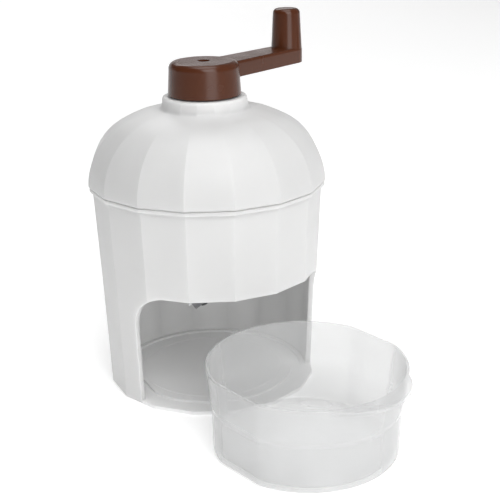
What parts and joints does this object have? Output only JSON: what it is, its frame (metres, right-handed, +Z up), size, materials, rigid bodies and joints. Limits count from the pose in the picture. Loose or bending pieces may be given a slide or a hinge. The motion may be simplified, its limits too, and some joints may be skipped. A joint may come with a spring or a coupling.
{
  "type": "hand-crank ice shaver",
  "caption": "Hand-crank ice shaver with a faceted body, domed lid, top crank, under-floor blade and a clear pull-out container.",
  "frame": {"origin": "centre of the base plate's underside, on the table, on the crank's axis", "axes": "+Z up along the crank's axis, -Y out of the front opening, +X to the right seen from the front"},
  "size_m": [0.1437, 0.2341, 0.209],
  "materials": {
    "body_white": "satin moulded white",
    "chamber_white": "fine matte moulded white",
    "crank_brown": "satin moulded brown",
    "clear_plastic": "clear polished styrene",
    "steel": "brushed",
    "dark_steel": "dark oxide",
    "bush_grey": "matte acetal",
    "rubber": "matte"
  },
  "bodies": {
    "housing": {"body_shell": "body_white", "base_plate": "body_white", "ice_chamber": "chamber_white", "chamber_screw_1": "steel", "chamber_screw_2": "steel", "chamber_screw_3": "steel", "blade": "steel", "blade_clamp": "dark_steel", "blade_screw_left": "dark_steel", "blade_screw_right": "dark_steel", "grip_pad_1": "rubber", "grip_pad_2": "rubber", "grip_pad_3": "rubber", "grip_pad_4": "rubber"},
    "lid": {"lid_dome": "body_white", "shaft_bush": "bush_grey"},
    "crank": {"crank_handle": "crank_brown", "crank_screw": "steel", "drive_shaft": "steel", "drive_pin": "steel", "thrust_washer": "steel", "pressure_spring": "steel"},
    "presser": {"ice_presser": "chamber_white", "spike_plate": "steel", "spike_rivet_1": "steel", "spike_rivet_2": "steel", "spike_rivet_3": "steel"},
    "tray": {"container": "clear_plastic"}
  },
  "joints": [
    {"name": "lid_lift", "type": "slide", "parent": "housing", "child": "lid", "axis": [0, 0, 1], "range_m": [0, 0.06]},
    {"name": "crank_turn", "type": "hinge", "parent": "lid", "child": "crank", "pos_m": [0, 0, 0.16], "axis": [0, 0, 1], "continuous": true},
    {"name": "presser_slide", "type": "slide", "parent": "crank", "child": "presser", "axis": [0, 0, 1], "range_m": [0, 0.028], "stiffness_N_per_m": 150, "springref_m": -0.01, "deforming": ["pressure_spring"]},
    {"name": "container_slide", "type": "slide", "parent": "housing", "child": "tray", "axis": [-0.0719, 0.9972, 0.0226], "range_m": [0, 0.1076]}
  ]
}
